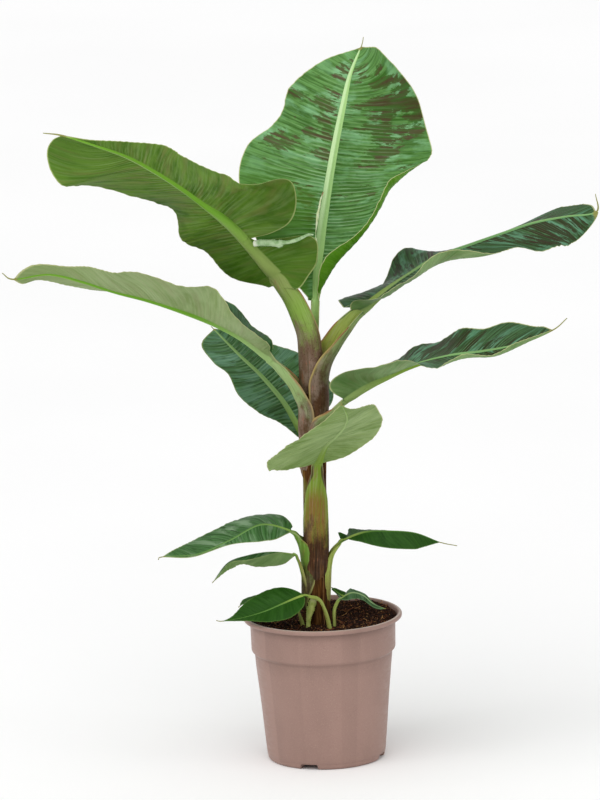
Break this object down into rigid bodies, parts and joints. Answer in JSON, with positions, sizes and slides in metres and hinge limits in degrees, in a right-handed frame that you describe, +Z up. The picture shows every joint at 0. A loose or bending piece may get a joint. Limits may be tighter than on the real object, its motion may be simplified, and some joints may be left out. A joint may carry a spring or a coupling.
{
  "type": "potted banana plant",
  "caption": "Young banana plant in a round plastic nursery pot: upright stem of rolled sheaths with large broad leaves on channelled stalks, small leaves low down, soil to the rim",
  "frame": {"origin": "middle of the pot's underside, on the face that the plant stands on", "axes": "+Z up along the trunk, +X to the right in the picture, +Y away from the picture's viewer"},
  "size_m": [0.8938, 0.4141, 1.0827],
  "materials": {
    "pot": "matt moulded taupe plastic",
    "soil": "crumbly dark peat and fibre",
    "trunk": "satin sheaths, brown purple to olive green",
    "leaf": "satin leaf, blue green with red brown flecks above, paler below"
  },
  "bodies": {
    "root": {"pot": "pot", "soil": "soil", "trunk": "trunk", "leaf_upright": "leaf", "leaf_high_left": "leaf", "leaf_high_right": "leaf", "leaf_mid_left": "leaf", "leaf_mid_right": "leaf", "leaf_back_left": "leaf", "leaf_front": "leaf", "leaf_low_left_top": "leaf", "leaf_low_left_under": "leaf", "leaf_low_right": "leaf", "leaf_foot_left": "leaf", "leaf_foot_right": "leaf", "leaf_foot_back": "leaf", "leaf_foot_hidden": "leaf"}
  },
  "joints": []
}
